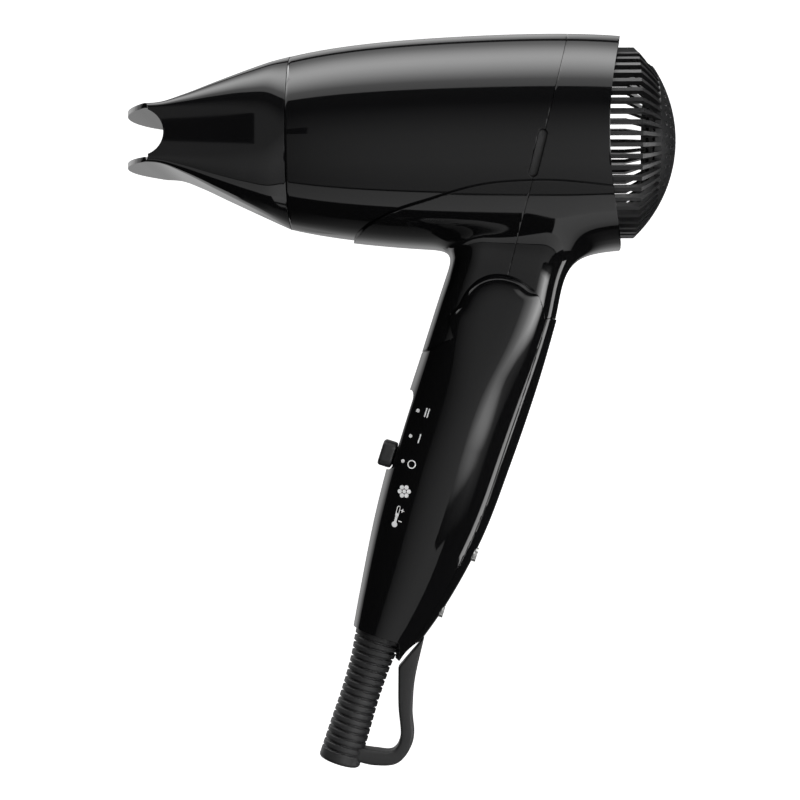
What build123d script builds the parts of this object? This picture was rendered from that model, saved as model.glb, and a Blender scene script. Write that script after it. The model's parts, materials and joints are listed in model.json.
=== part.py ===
from build123d import *
import math
import os

os.makedirs("parts", exist_ok=True)

# A travel hair dryer with a folding handle, in millimetres, +Z up.
# Origin: the middle of the hand grip, on the dryer's middle plane.
# The nozzle points to -X, the air intake to +X, and Y is across.

# ---- driving dimensions -------------------------------------------------

axis_z = 108.8              # height of the barrel's axis over the grip
seam_x = -51.7              # where the nozzle meets the barrel
rim_x = 57.7                # rear rim of the barrel, top and bottom
rim_scoop = 6.5             # how far the rim curves forward at mid height
wall = 2.2                  # barrel wall
barrel_outline = ((seam_x, 28.7), (-33.3, 31.9), (-9.7, 34.2), (14.0, 35.3), (40.0, 35.7), (rim_x, 34.8))
lower_step = 1.0            # how far the lower shell stands out from the upper

pivot_x, pivot_z = 16.33, 49.33     # handle hinge
handle_tilt = 17.5          # handle axis from the vertical, degrees
parting_tilt = 13.8         # front and rear shells part on this plane through the hinge
arch_r = 15.4               # round top of the handle's cheeks
sweep_r = 26.6              # the neck's front corner, from the hinge
front_seam_angle = -39.5    # seams round the hinge, from the handle's forward direction
rear_seam_angle = 160.5
neck_half_width = 14.2
hinge_gap = 0.4             # between the neck's sides and the handle's cheeks
handle_wall = 2.0

knob_rest = 52.6            # middle of the knob below the hinge, at O; II is 17.7 higher
knob_length, knob_width = 8.7, 14.0
knob_top = 23.6             # its top, forward of the handle's axis
recess_top, recess_bottom = 30.2, 57.8      # the knob's recess, below the hinge
recess_half, recess_floor = 8.6, 18.6
slot_half = 2.3             # slot under the knob, for its stem

boot_top, boot_end = 110.8, 155.6   # strain relief, along the handle's axis
boot_forward = 5.9          # its axis, forward of the handle's
cord_bore_r = 3.25
boot_groove_count = 17
boot_groove_pitch = 2.4

boot_groove_width = 0.8

grille_r = 31.7
grille_dome_r = 43.6
grille_wall = 1.8
grille_rib_count = 54

pill_x, pill_z = 28.7, 101.1        # latch recess on each side of the barrel
pill_length, pill_width = 15.3, 3.0

shroud_r = 32.2             # fan duct
motor_r = 14.2
shaft_r = 1.16
bearing_r = 3.4
sleeve_r = 24.0             # mica sleeve round the heater
mica_half, mica_neck_half, mica_thickness = 20.6, 12.6, 0.8
spigot_r = 21.9             # collar that the nozzle grips
nozzle_tip_x, nozzle_centre_z = -106.2, 109.2
nozzle_wall = 1.6

hinge_tube_r, hinge_tube_bore = 5.55, 4.4
screw_stations = ((76, -17.2, 9.4), (97, -12.4, 14.2))      # below the hinge, head, depth of its seat

# ---- shared frames and helpers ------------------------------------------

barrel_axis = Axis((0, 0, axis_z), (1, 0, 0))
tilt = math.radians(handle_tilt)
forward = Vector(-math.cos(tilt), 0, math.sin(tilt))
down = Vector(-math.sin(tilt), 0, -math.cos(tilt))
pivot = Vector(pivot_x, 0, pivot_z)
handle_side = Plane(pivot, x_dir=forward, z_dir=(0, 1, 0))
parting = Plane(
    pivot,
    x_dir=(0, 1, 0),
    z_dir=(math.cos(math.radians(parting_tilt)), 0, -math.sin(math.radians(parting_tilt))),
)


def across_barrel(x):
    """The plane square to the barrel's axis at x, with +Z as its second direction."""
    return Plane((x, 0, axis_z), x_dir=(0, 1, 0), z_dir=(1, 0, 0))


def across_handle(below):
    """The plane square to the handle, this far below the hinge: forward, then across."""
    return Plane(pivot + down * below, x_dir=forward, z_dir=down)


def polar(radius, degrees):
    """A point on the handle's side plane, round the hinge."""
    return (radius * math.cos(math.radians(degrees)), radius * math.sin(math.radians(degrees)))


def slab(face, half):
    """A sketch face as a solid, this far to both sides."""
    return extrude(face, amount=half, both=True)


def ring_wall(x_start, x_end, inner, outer):
    """A plain tube round the barrel's axis."""
    with BuildPart() as tube:
        with BuildSketch(across_barrel(x_start)):
            Circle(outer)
            if inner > 0:
                Circle(inner, mode=Mode.SUBTRACT)
        extrude(amount=x_end - x_start)
    return tube.part


def barrel_body(gain):
    """The barrel as a solid of revolution, its outline moved out by gain."""
    with BuildPart() as body:
        with BuildSketch(Plane.XZ):
            with BuildLine():
                top = Spline(*[(x, axis_z + r + gain) for x, r in barrel_outline])
                Line(top @ 1, (rim_x, axis_z))
                Line((rim_x, axis_z), (seam_x, axis_z))
                Line((seam_x, axis_z), top @ 0)
            make_face()
        revolve(axis=barrel_axis)
    return body.part


def rounded_loft(stations, plane_at):
    """A loft of rounded rectangles: place, two ends along the first direction, half width, radius."""
    with BuildPart() as form:
        for place, start, end, half, radius in stations:
            with BuildSketch(plane_at(place)):
                with Locations(((start + end) / 2, 0)):
                    RectangleRounded(abs(end - start), 2 * half, radius)
        loft()
    return form.part


def inset(stations, depth):
    """The same stations for a form this far inside."""
    return [
        (place, start + math.copysign(depth, end - start), end - math.copysign(depth, end - start),
         half - depth, max(radius - depth, 0.8))
        for place, start, end, half, radius in stations
    ]


def save(name, label, color):
    """Labels a finished piece and writes it."""
    name.part.label = label
    name.part.color = Color(color)
    export_step(name.part, f"parts/{label}.step")


# ---- outlines that several shells share ---------------------------------

# The lower shell's upper edge: one long swoosh from under the barrel to the rim.
with BuildSketch(Plane.XZ) as below_swoosh:
    with BuildLine():
        swoosh = Spline((-38, 70), (-26, 79.2), (-4, 87.3), (9, 90.8), (28, 92.4), (62, 89.6))
        Line(swoosh @ 1, (62, 30))
        Line((62, 30), (-38, 30))
        Line((-38, 30), swoosh @ 0)
    make_face()
lower_zone = slab(below_swoosh.sketch, 45)

# The scooped rear rim.
with BuildSketch(Plane.XZ) as behind_rim:
    with BuildLine():
        rim = ThreePointArc(
            (rim_x + 2.4, axis_z + 43),
            (rim_x - rim_scoop, axis_z),
            (rim_x + 2.4, axis_z - 43),
        )
        Line(rim @ 1, (90, axis_z - 43))
        Line((90, axis_z - 43), (90, axis_z + 43))
        Line((90, axis_z + 43), rim @ 0)
    make_face()
rim_cut = slab(behind_rim.sketch, 45)

# The neck in side view: a tongue with a round end between the handle's cheeks.
with BuildSketch(handle_side) as tongue_side:
    with BuildLine():
        front_corner = polar(sweep_r, front_seam_angle)
        rear_corner = polar(19.6, rear_seam_angle)
        Line(front_corner, (21.5, 34))
        Line((21.5, 34), (-34, 34))
        Line((-34, 34), (-19.8, 14))
        Line((-19.8, 14), rear_corner)
        Line(rear_corner, polar(14.9, rear_seam_angle))
        ThreePointArc(polar(14.9, rear_seam_angle), polar(14.9, -120), polar(14.9, front_seam_angle))
        Line(polar(14.9, front_seam_angle), front_corner)
    make_face()
tongue_zone = slab(tongue_side.sketch, 30)

# The neck flares from the tongue into the underside of the barrel.
# height, front, rear, half width, corner radius
neck_stations = (
    (26.0, -13.1, 29.0, neck_half_width, 5.5),
    (40.0, -8.1, 33.2, neck_half_width, 5.5),
    (52.0, -3.9, 36.4, neck_half_width, 5.5),
    (60.0, -1.1, 37.9, neck_half_width, 5.5),
    (66.0, 1.2, 40.2, 14.4, 6.0),
    (70.0, 1.4, 46.5, 16.2, 8.0),
    (74.0, -1.6, 55.5, 20.6, 11.0),
    (80.0, -5.0, 57.0, 24.0, 13.0),
)
neck_foot = rounded_loft(neck_stations[:4], Plane.XY.offset)
neck_form = neck_foot + rounded_loft(neck_stations[3:], Plane.XY.offset)
neck_bore_stations = inset(neck_stations[:4], 1.9) + [(90.0, 5.0, 36.0, neck_half_width - 1.9, 4.0)]
neck_bore = rounded_loft(neck_bore_stations, Plane.XY.offset)

upper_form = barrel_body(0)
lower_form = barrel_body(lower_step)
hollow = barrel_body(-wall)

# ---- handle outlines ----------------------------------------------------

# below hinge, front, back, half width, corner radius
handle_stations = (
    (-20, 20.2, -18.4, 17.0, 7.0),
    (17, 20.5, -19.5, 17.0, 8.0),
    (43, 20.6, -18.9, 17.0, 11.0),
    (72, 19.3, -17.0, 16.0, 11.0),
    (99, 16.4, -11.3, 13.0, 9.5),
    (121, 13.6, -3.6, 10.6, 7.5),
)
handle_form = rounded_loft(handle_stations, across_handle)
handle_hollow = rounded_loft(inset(handle_stations, handle_wall), across_handle)

# Side outline of the whole handle: seams and round top at the hinge, tail at the bottom.
with BuildSketch(handle_side) as handle_outline:
    with BuildLine():
        top_front = polar(sweep_r + 0.5, front_seam_angle - 0.8)
        top_rear = polar(19.9, rear_seam_angle + 1)
        Line((24, top_front[1]), top_front)
        arch_start = polar(arch_r, front_seam_angle - 0.8)
        Line(top_front, arch_start)
        ThreePointArc(arch_start, polar(arch_r, 60), polar(arch_r, rear_seam_angle + 1))
        Line(polar(arch_r, rear_seam_angle + 1), top_rear)
        Line(top_rear, (-24, top_rear[1]))
        Line((-24, top_rear[1]), (-24, -104))
        Line((-24, -104), (-9.6, -104.9))
        ThreePointArc((-9.6, -104.9), (-4.6, -109.6), (-3.2, -117.4))
        Line((-3.2, -117.4), (-1.35, -boot_top + 0.2))
        Line((-1.35, -boot_top + 0.2), (24, -boot_top + 0.2))
        Line((24, -boot_top + 0.2), (24, top_front[1]))
    make_face()
handle_zone = slab(handle_outline.sketch, 30)

# The back strip of the handle, its own cover.
with BuildSketch(handle_side) as spine_outline:
    with BuildLine():
        spine_edge = Spline((-15.4, 16), (-15.4, -30), (-13.6, -72), (-8.4, -99), (-6.6, -106))
        Line(spine_edge @ 1, (-30, -106))
        Line((-30, -106), (-30, 16))
        Line((-30, 16), spine_edge @ 0)
    make_face()
spine_zone = slab(spine_outline.sketch, 30)

# The space inside the handle that the neck swings through.
with BuildPart() as swing_space:
    with BuildSketch(handle_side):
        with BuildLine():
            swing_start = polar(sweep_r + 0.4, rear_seam_angle - 2)
            swing_end = polar(sweep_r + 0.4, -118)
            Line((0, 0), swing_start)
            ThreePointArc(swing_start, polar(sweep_r + 0.4, 0), swing_end)
            Line(swing_end, (0, 0))
        make_face()
        Circle(arch_r - 0.1)
    extrude(amount=neck_half_width + hinge_gap, both=True)

# ---- barrel shells ------------------------------------------------------

def pill(width, depth_from, depth_to):
    """A pill-shaped block along the parting line, on both sides of the barrel."""
    lean = math.radians(parting_tilt)
    side = Plane((pill_x, 0, pill_z), x_dir=(math.sin(lean), 0, math.cos(lean)), z_dir=(0, -1, 0))
    with BuildPart() as block:
        with BuildSketch(side.offset(depth_from)):
            SlotOverall(pill_length - pill_width + width, width)
        extrude(amount=depth_to - depth_from)
        mirror(about=Plane.XZ)
    return block.part


upper_wall = upper_form - hollow - lower_zone - rim_cut
lower_wall = (lower_form + (neck_form & tongue_zone)) - neck_bore - hollow
lower_wall = (lower_wall & lower_zone) - rim_cut
pivot_hole = slab(Plane(pivot, z_dir=(0, 1, 0)) * Circle(hinge_tube_r + 0.1), 20)

with BuildPart() as upper_front_shell:
    add(upper_wall)
    split(bisect_by=parting, keep=Keep.BOTTOM)
    add(pill(pill_width, 28, 40), mode=Mode.SUBTRACT)
save(upper_front_shell, "upper_front_shell", "gray20")

with BuildPart() as upper_rear_shell:
    add(upper_wall)
    split(bisect_by=parting, keep=Keep.TOP)
    add(pill(pill_width, 28, 40), mode=Mode.SUBTRACT)
save(upper_rear_shell, "upper_rear_shell", "gray30")

with BuildPart() as lower_front_shell:
    add(lower_wall)
    split(bisect_by=parting, keep=Keep.BOTTOM)
    add(pivot_hole, mode=Mode.SUBTRACT)
save(lower_front_shell, "lower_front_shell", "steelblue")

with BuildPart() as lower_rear_shell:
    add(lower_wall)
    split(bisect_by=parting, keep=Keep.TOP)
    add(pivot_hole, mode=Mode.SUBTRACT)
save(lower_rear_shell, "lower_rear_shell", "skyblue")

with BuildPart() as shell_latches:
    # Each latch sits in its recess, with a flange behind the shells.
    add(pill(pill_width - 0.5, 27, 40) & ring_wall(15, 42, 32.5, 34.4))
    add(pill(pill_width + 2.5, 26, 40) & ring_wall(15, 42, 32.5, 33.0))
save(shell_latches, "shell_latches", "gray60")

# ---- rear grille and its screen -----------------------------------------

dome_centre_x = 32.0
dome_meets_x = dome_centre_x + math.sqrt(grille_dome_r**2 - (grille_r - 0.6) ** 2)

with BuildPart() as rear_grille:
    with BuildSketch(Plane.XZ):
        with BuildLine():
            outer_dome = ThreePointArc(
                (dome_meets_x, axis_z + grille_r - 0.6),
                (dome_centre_x + grille_dome_r * math.cos(0.4), axis_z + grille_dome_r * math.sin(0.4)),
                (dome_centre_x + grille_dome_r, axis_z),
            )
            Line(outer_dome @ 1, (dome_centre_x + grille_dome_r - grille_wall, axis_z))
            inner_dome = ThreePointArc(
                (dome_centre_x + grille_dome_r - grille_wall, axis_z),
                (
                    dome_centre_x + (grille_dome_r - grille_wall) * math.cos(0.4),
                    axis_z + (grille_dome_r - grille_wall) * math.sin(0.4),
                ),
                (dome_meets_x - 0.9, axis_z + grille_r - 2.1),
            )
            Polyline(
                inner_dome @ 1,
                (44.0, axis_z + grille_r - 2.1),
                (44.0, axis_z + grille_r + 1.2),
                (46.0, axis_z + grille_r + 1.2),
                (46.0, axis_z + grille_r),
                (dome_meets_x - 0.6, axis_z + grille_r),
                outer_dome @ 0,
            )
        make_face()
    revolve(axis=barrel_axis)
    # Slots between the ribs, widening with the radius.
    with BuildSketch(Plane.XZ) as slot_side:
        with Locations((59.5, axis_z + 29.5)):
            Rectangle(19, 12)
    slot_pitch = 360 / grille_rib_count
    slot_arc = slot_pitch * 0.64
    one_slot = revolve(slot_side.sketch, axis=barrel_axis, revolution_arc=slot_arc, mode=Mode.PRIVATE)
    add(
        [one_slot.rotate(barrel_axis, slot_pitch * n) for n in range(grille_rib_count)],
        mode=Mode.SUBTRACT,
    )
    # Rings of small holes in the dome.
    with BuildSketch(across_barrel(64)):
        for ring_radius, hole_count in ((20.4, 36), (16.6, 30), (12.8, 24), (9.0, 18), (5.2, 10)):
            with PolarLocations(ring_radius, hole_count):
                Circle(0.85)
        Circle(0.85)
    extrude(amount=16, mode=Mode.SUBTRACT)
save(rear_grille, "rear_grille", "gray15")

with BuildPart() as lint_screen:
    with BuildSketch(across_barrel(50.0)):
        Circle(29.3)
        Circle(27.6, mode=Mode.SUBTRACT)
        with GridLocations(5.2, 0, 9, 1):
            Rectangle(0.6, 56)
        with GridLocations(0, 5.2, 1, 9):
            Rectangle(56, 0.6)
        Circle(29.4, mode=Mode.INTERSECT)
    extrude(amount=0.7)
save(lint_screen, "lint_screen", "silver")

# ---- fan, motor and its mount -------------------------------------------

with BuildPart() as fan_shroud:
    add(ring_wall(6.0, 43.5, shroud_r - 1.6, shroud_r))
    add(ring_wall(8.0, 26.0, motor_r + 0.2, motor_r + 1.6))
    with BuildSketch(across_barrel(9.0)):
        with PolarLocations(23.2, 9):
            Rectangle(15.4, 1.3)
    extrude(amount=13)
save(fan_shroud, "fan_shroud", "tan")

with BuildPart() as motor_can:
    add(ring_wall(4.0, 27.0, motor_r - 1.0, motor_r))
    add(ring_wall(26.0, 27.0, bearing_r + 0.05, motor_r - 0.6))
save(motor_can, "motor_can", "silver")

with BuildPart() as motor_end_cap:
    add(ring_wall(1.4, 3.9, bearing_r + 0.05, motor_r - 0.1))
    with BuildSketch(across_barrel(3.9)):
        with GridLocations(0, 20.4, 1, 2):
            Rectangle(4.4, 4.4)
    extrude(amount=4.0)
save(motor_end_cap, "motor_end_cap", "gray25")

with BuildPart() as motor_magnets:
    add(ring_wall(9.5, 23.5, motor_r - 3.5, motor_r - 1.1))
    with BuildSketch(across_barrel(9.0)):
        Rectangle(6.0, 30)
    extrude(amount=15, mode=Mode.SUBTRACT)
save(motor_magnets, "motor_magnets", "gray40")

with BuildPart() as motor_brushes:
    with BuildSketch(across_barrel(5.6)):
        with GridLocations(0, 11.8, 1, 2):
            Rectangle(2.4, 3.9)
    extrude(amount=2.0)
save(motor_brushes, "motor_brushes", "gray20")

with BuildPart() as motor_bearings:
    add(ring_wall(26.0, 28.6, shaft_r + 0.04, bearing_r))
    add(ring_wall(0.9, 3.4, shaft_r + 0.04, bearing_r))
save(motor_bearings, "motor_bearings", "goldenrod")

with BuildPart() as motor_shaft:
    add(ring_wall(0.2, 43.0, 0, shaft_r))
save(motor_shaft, "motor_shaft", "lightgray")

with BuildPart() as armature_core:
    add(ring_wall(10.0, 22.0, shaft_r, motor_r - 4.1))
    with BuildSketch(across_barrel(10.0)):
        with PolarLocations(6.6, 3):
            Rectangle(4.6, 4.4)
        with PolarLocations(9.6, 3):
            Rectangle(2.4, 1.4)
    extrude(amount=12, mode=Mode.SUBTRACT)
save(armature_core, "armature_core", "slategray")

with BuildPart() as armature_windings:
    with BuildSketch(across_barrel(9.2)):
        with PolarLocations(6.6, 3):
            Rectangle(4.4, 4.2)
    extrude(amount=13.6)
save(armature_windings, "armature_windings", "orangered")

with BuildPart() as commutator:
    add(ring_wall(5.0, 9.0, shaft_r, 3.7))
    with BuildSketch(across_barrel(5.0)):
        with PolarLocations(3.5, 3):
            Rectangle(0.8, 0.35)
    extrude(amount=4, mode=Mode.SUBTRACT)
save(commutator, "commutator", "orange")

with BuildPart() as impeller:
    add(ring_wall(30.6, 33.0, shaft_r, 9.4))
    add(ring_wall(33.0, 41.6, shaft_r, 3.4))
    add(ring_wall(33.0, 41.6, 8.0, 9.4))
    blade_sketch_plane = Plane((0, 0, axis_z + 8.6), x_dir=(1, 0, 0), z_dir=(0, 0, 1))
    with BuildSketch(blade_sketch_plane) as blade_root:
        with Locations((36.2, 0)):
            Rectangle(10.6, 1.2, rotation=32)
    one_blade = extrude(blade_root.sketch, amount=20.6, mode=Mode.PRIVATE)
    add([one_blade.rotate(barrel_axis, 360 / 11 * n) for n in range(11)])
save(impeller, "impeller", "gold")

with BuildPart() as rectifier_board:
    add(ring_wall(-2.6, -1.0, 2.0, 12.5))
save(rectifier_board, "rectifier_board", "darkgreen")

with BuildPart() as rectifier_diodes:
    for y, z in ((-6, 5), (6, 5), (-6, -5), (6, -5)):
        with Locations(Pos(-3.9, y, axis_z + z) * Rot(90, 0, 0)):
            Cylinder(1.25, 5)
save(rectifier_diodes, "rectifier_diodes", "black")

# ---- heater -------------------------------------------------------------

with BuildPart() as mica_sleeve:
    add(ring_wall(-46.0, 4.0, sleeve_r - 0.6, sleeve_r))
save(mica_sleeve, "mica_sleeve", "wheat")

with BuildPart() as mica_board_upright:
    with BuildSketch(Plane.XZ):
        with Locations((-31, axis_z)):
            Rectangle(28, 2 * mica_half)
        with Locations((-13, axis_z)):
            Rectangle(10, 2 * mica_neck_half)
        with Locations((-15, axis_z)):
            Rectangle(20, mica_thickness + 0.1, mode=Mode.SUBTRACT)
    extrude(amount=mica_thickness / 2, both=True)
save(mica_board_upright, "mica_board_upright", "khaki")

with BuildPart() as mica_board_flat:
    with BuildSketch(Plane.XY.offset(axis_z)):
        with Locations((-31, 0)):
            Rectangle(28, 2 * mica_half)
        with Locations((-13, 0)):
            Rectangle(10, 2 * mica_neck_half)
        with Locations((-36, 0)):
            Rectangle(22, mica_thickness + 0.1, mode=Mode.SUBTRACT)
    extrude(amount=mica_thickness / 2, both=True)
save(mica_board_flat, "mica_board_flat", "khaki")


def wire_loops(x_start, pitch, count, radius, wire_r):
    """Turns of heater wire round the mica cross."""
    with BuildPart() as turns:
        with BuildSketch(Plane.XZ):
            for n in range(count):
                with Locations((x_start + pitch * n, axis_z + radius)):
                    Circle(wire_r)
        revolve(axis=barrel_axis)
    return turns.part


with BuildPart() as heater_coil_main:
    add(wire_loops(-43.2, 2.6, 10, 21.4, 0.5))
save(heater_coil_main, "heater_coil_main", "firebrick")

with BuildPart() as heater_coil_motor:
    add(wire_loops(-15.6, 2.2, 3, 13.3, 0.4))
save(heater_coil_motor, "heater_coil_motor", "indianred")

with BuildPart() as thermostat:
    with BuildSketch(Plane.XZ.offset(-mica_thickness / 2 - 0.05)):
        with Locations((-30, axis_z + 10)):
            RectangleRounded(13, 8, 1.2)
    extrude(amount=-3.2)
save(thermostat, "thermostat", "lightsteelblue")

with BuildPart() as thermal_fuse:
    with Locations(Pos(-30, 2.0, axis_z - 10) * Rot(0, 90, 0)):
        Cylinder(1.5, 11)
save(thermal_fuse, "thermal_fuse", "mintcream")

with BuildPart() as outlet_spigot:
    add(ring_wall(-60.0, -47.5, spigot_r - 1.5, spigot_r))
    add(ring_wall(-50.0, -47.5, spigot_r - 1.5, sleeve_r + 2.0))
    add(ring_wall(-47.5, -43.0, sleeve_r + 0.3, sleeve_r + 2.0))
save(outlet_spigot, "outlet_spigot", "dimgray")

with BuildPart() as outlet_grille:
    with BuildSketch(across_barrel(-57.5)):
        Circle(spigot_r - 1.6)
        Circle(spigot_r - 2.8, mode=Mode.SUBTRACT)
        with GridLocations(5.6, 0, 7, 1):
            Rectangle(0.9, 42)
        with GridLocations(0, 11.2, 1, 3):
            Rectangle(42, 0.9)
        Circle(spigot_r - 1.6, mode=Mode.INTERSECT)
    extrude(amount=2.0)
save(outlet_grille, "outlet_grille", "lightgray")

# ---- nozzle -------------------------------------------------------------

# x, half height, half width, corner radius: a round base that flattens into a wide slot
nozzle_stations = (
    (seam_x - 0.4, 28.7, 28.7, 28.5),
    (-57.0, 26.1, 28.5, 21.5),
    (-65.0, 22.2, 28.2, 15.2),
    (-75.0, 17.4, 27.8, 9.6),
    (-85.0, 12.6, 27.5, 4.8),
    (-92.0, 9.9, 27.4, 2.2),
    (-99.0, 9.4, 27.2, 1.7),
    (-107.0, 9.3, 27.0, 1.6),
)


def nozzle_form(depth):
    """The nozzle's outside, or the duct this far inside it."""
    with BuildPart() as form:
        for x, half_z, half_y, radius in nozzle_stations:
            lift = axis_z + (nozzle_centre_z - axis_z) * min(1, (seam_x - x) / 35)
            with BuildSketch(Plane((x, 0, lift), x_dir=(0, 1, 0), z_dir=(-1, 0, 0))):
                RectangleRounded(2 * (half_y - depth), 2 * (half_z - depth), max(radius - depth, 0.9))
        loft()
    return form.part


with BuildPart() as mouth_cut:
    # The lips are round in plan, and the narrow ends are notched between them.
    with BuildSketch(Plane.XY.offset(nozzle_centre_z - 20)):
        with BuildLine():
            lip = ThreePointArc((-94.6, -28.5), (nozzle_tip_x, 0), (-94.6, 28.5))
            Polyline(lip @ 1, (-94.6, 34), (-112, 34), (-112, -34), (-94.6, -34), lip @ 0)
        make_face()
    extrude(amount=40)
    with BuildSketch(Plane((0, 0, nozzle_centre_z), x_dir=(1, 0, 0), z_dir=(0, -1, 0))):
        with Locations((-106, 0)):
            SlotOverall(30.4, 15.0)
    extrude(amount=40, both=True)

with BuildPart() as nozzle:
    add(nozzle_form(0))
    add(nozzle_form(nozzle_wall), mode=Mode.SUBTRACT)
    add(mouth_cut.part, mode=Mode.SUBTRACT)
save(nozzle, "nozzle", "gray20")

with BuildPart() as nozzle_grip_ring:
    add(ring_wall(-59.0, -52.4, spigot_r + 0.08, spigot_r + 1.1))
save(nozzle_grip_ring, "nozzle_grip_ring", "sienna")

# ---- handle -------------------------------------------------------------

with BuildPart() as bottom_wall:
    with BuildSketch(across_handle(104.5)):
        with Locations((3, 0)):
            Rectangle(40, 40)
    extrude(amount=20)
hollow_above_bottom = handle_hollow - bottom_wall.part

with BuildPart() as handle_front_shell:
    add(handle_form)
    add(hollow_above_bottom, mode=Mode.SUBTRACT)
    add(handle_zone, mode=Mode.INTERSECT)
    add(spine_zone, mode=Mode.SUBTRACT)
    # Thicker wall behind the switch recess.
    with BuildSketch(across_handle(recess_top - 1.8)):
        with Locations((recess_floor - 0.4, 0)):
            Rectangle(3.2, 2 * recess_half + 1.6)
    backing = extrude(amount=recess_bottom - recess_top + 3.6, mode=Mode.PRIVATE)
    add(backing & handle_form)
    # Bosses for the two screws through the back cover.
    with BuildSketch(Plane(pivot, x_dir=down, z_dir=forward)) as boss_spots:
        with Locations([(station[0], 0) for station in screw_stations]):
            Circle(2.6)
    add(extrude(boss_spots.sketch, amount=40, both=True, mode=Mode.PRIVATE) & (handle_hollow - spine_zone))
    add(swing_space.part, mode=Mode.SUBTRACT)
    # Spigots that hold the hinge tube.
    with BuildSketch(handle_side.offset(-16)):
        Circle(hinge_tube_bore - 0.05)
    extrude(amount=5.5)
    mirror(about=Plane.XZ)
    # Recess and slot for the knob.
    with BuildSketch(Plane(pivot + forward * recess_floor, x_dir=down, z_dir=forward)):
        with Locations(((recess_top + recess_bottom) / 2, 0)):
            RectangleRounded(recess_bottom - recess_top, 2 * recess_half, 3.0)
    extrude(amount=5, mode=Mode.SUBTRACT)
    with BuildSketch(Plane(pivot + forward * (recess_floor - 3), x_dir=down, z_dir=forward)):
        with Locations(((recess_top + recess_bottom) / 2, 0)):
            Rectangle(recess_bottom - recess_top - 3.0, 2 * slot_half)
    extrude(amount=6, mode=Mode.SUBTRACT)
    # Throat for the strain relief and the bores for the screws.
    with BuildSketch(Plane(pivot + forward * boot_forward + down * 100, x_dir=forward, z_dir=down)):
        Circle(5.6)
    extrude(amount=16, mode=Mode.SUBTRACT)
    with BuildSketch(Plane(pivot + forward * -25, x_dir=down, z_dir=forward)):
        with Locations([(station[0], 0) for station in screw_stations]):
            Circle(1.0)
    extrude(amount=27, mode=Mode.SUBTRACT)
save(handle_front_shell, "handle_front_shell", "gray25")

with BuildPart() as handle_back_cover:
    add(handle_form)
    add(hollow_above_bottom, mode=Mode.SUBTRACT)
    add(handle_zone, mode=Mode.INTERSECT)
    add(spine_zone, mode=Mode.INTERSECT)
    # Holes and counterbores for the screws.
    for below, _, seat_depth in screw_stations:
        with BuildSketch(Plane(pivot + forward * -25 + down * below, x_dir=down, z_dir=forward)):
            Circle(1.45)
        extrude(amount=20, mode=Mode.SUBTRACT)
        with BuildSketch(Plane(pivot + forward * -25 + down * below, x_dir=down, z_dir=forward)):
            Circle(2.6)
        extrude(amount=seat_depth, mode=Mode.SUBTRACT)
save(handle_back_cover, "handle_back_cover", "plum")

with BuildPart() as handle_screws:
    for below, head_at, _ in screw_stations:
        head = Plane(pivot + forward * head_at + down * below, x_dir=down, z_dir=forward)
        with BuildSketch(head):
            Circle(2.4)
            Rectangle(2.6, 0.6, mode=Mode.SUBTRACT)
            Rectangle(0.6, 2.6, mode=Mode.SUBTRACT)
        extrude(amount=1.0)
        with BuildSketch(head.offset(0.8)):
            Circle(2.4)
        extrude(amount=0.8)
        with BuildSketch(head.offset(1.6)):
            Circle(0.98)
        extrude(amount=11)
save(handle_screws, "handle_screws", "lightgray")

# ---- handle hinge -------------------------------------------------------

cheek_inner = neck_half_width + hinge_gap
with BuildPart() as hinge_tube:
    with BuildSketch(handle_side):
        Circle(hinge_tube_r)
        Circle(hinge_tube_bore, mode=Mode.SUBTRACT)
    extrude(amount=cheek_inner - 0.02, both=True)
    # Window for the leads that cross the hinge.
    with BuildSketch(Plane.XY.offset(pivot_z - 8)):
        with Locations((pivot_x, 0)):
            RectangleRounded(7, 14, 1.5)
    extrude(amount=16, mode=Mode.SUBTRACT)
save(hinge_tube, "hinge_tube", "silver")

with BuildPart() as hinge_washers:
    with BuildSketch(handle_side.offset(neck_half_width - 1.9 - 1.3)):
        Circle(8.4)
        Circle(hinge_tube_r + 0.2, mode=Mode.SUBTRACT)
    extrude(amount=1.1)
    mirror(about=Plane.XZ)
save(hinge_washers, "hinge_washers", "gold")

# ---- switch -------------------------------------------------------------

def switch_block(below_start, below_end, back, front, half):
    """A block inside the handle, square to its axis."""
    with BuildPart() as block:
        with BuildSketch(across_handle(below_start)):
            with Locations(((back + front) / 2, 0)):
                Rectangle(front - back, 2 * half)
        extrude(amount=below_end - below_start)
    return block.part


with BuildPart() as switch_knob:
    with BuildSketch(Plane(pivot + forward * (recess_floor + 0.25) + down * knob_rest,
                           x_dir=down, z_dir=forward)):
        RectangleRounded(knob_length, knob_width, 2.6)
    extrude(amount=knob_top - recess_floor - 0.25)
    crown = switch_knob.faces().sort_by(Axis(pivot, forward))[-1]
    fillet(crown.edges(), 1.1)
    # Finger dish in its top.
    with Locations(pivot + forward * (knob_top + 5.9) + down * knob_rest):
        Sphere(7.0, mode=Mode.SUBTRACT)
    add(switch_block(knob_rest - 2.8, knob_rest + 2.8, 14.0, recess_floor + 1.0, 1.95))
save(switch_knob, "switch_knob", "gray10")

with BuildPart() as contact_slider:
    add(switch_block(knob_rest - 4.2, knob_rest + 4.2, 10.3, 14.0, 3.7))
    add(switch_block(knob_rest - 3.0, knob_rest + 3.0, 9.3, 10.3, 1.0))
save(contact_slider, "contact_slider", "orange")

with BuildPart() as switch_contacts:
    for below in (34.5, 42.5, 50.5):
        add(switch_block(below - 2.2, below + 2.2, 7.6, 9.2, 1.6))
        add(switch_block(below - 0.6, below + 0.6, 2.6, 9.2, 0.9))
save(switch_contacts, "switch_contacts", "gold")
with BuildPart() as switch_body:
    add(switch_block(29.5, 60.5, 6.4, 14.2, 6.4))
    add(switch_block(30.5, 59.5, 9.25, 15.0, 4.1), mode=Mode.SUBTRACT)
    add(switch_contacts.part, mode=Mode.SUBTRACT)
save(switch_body, "switch_body", "gray50")

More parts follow.
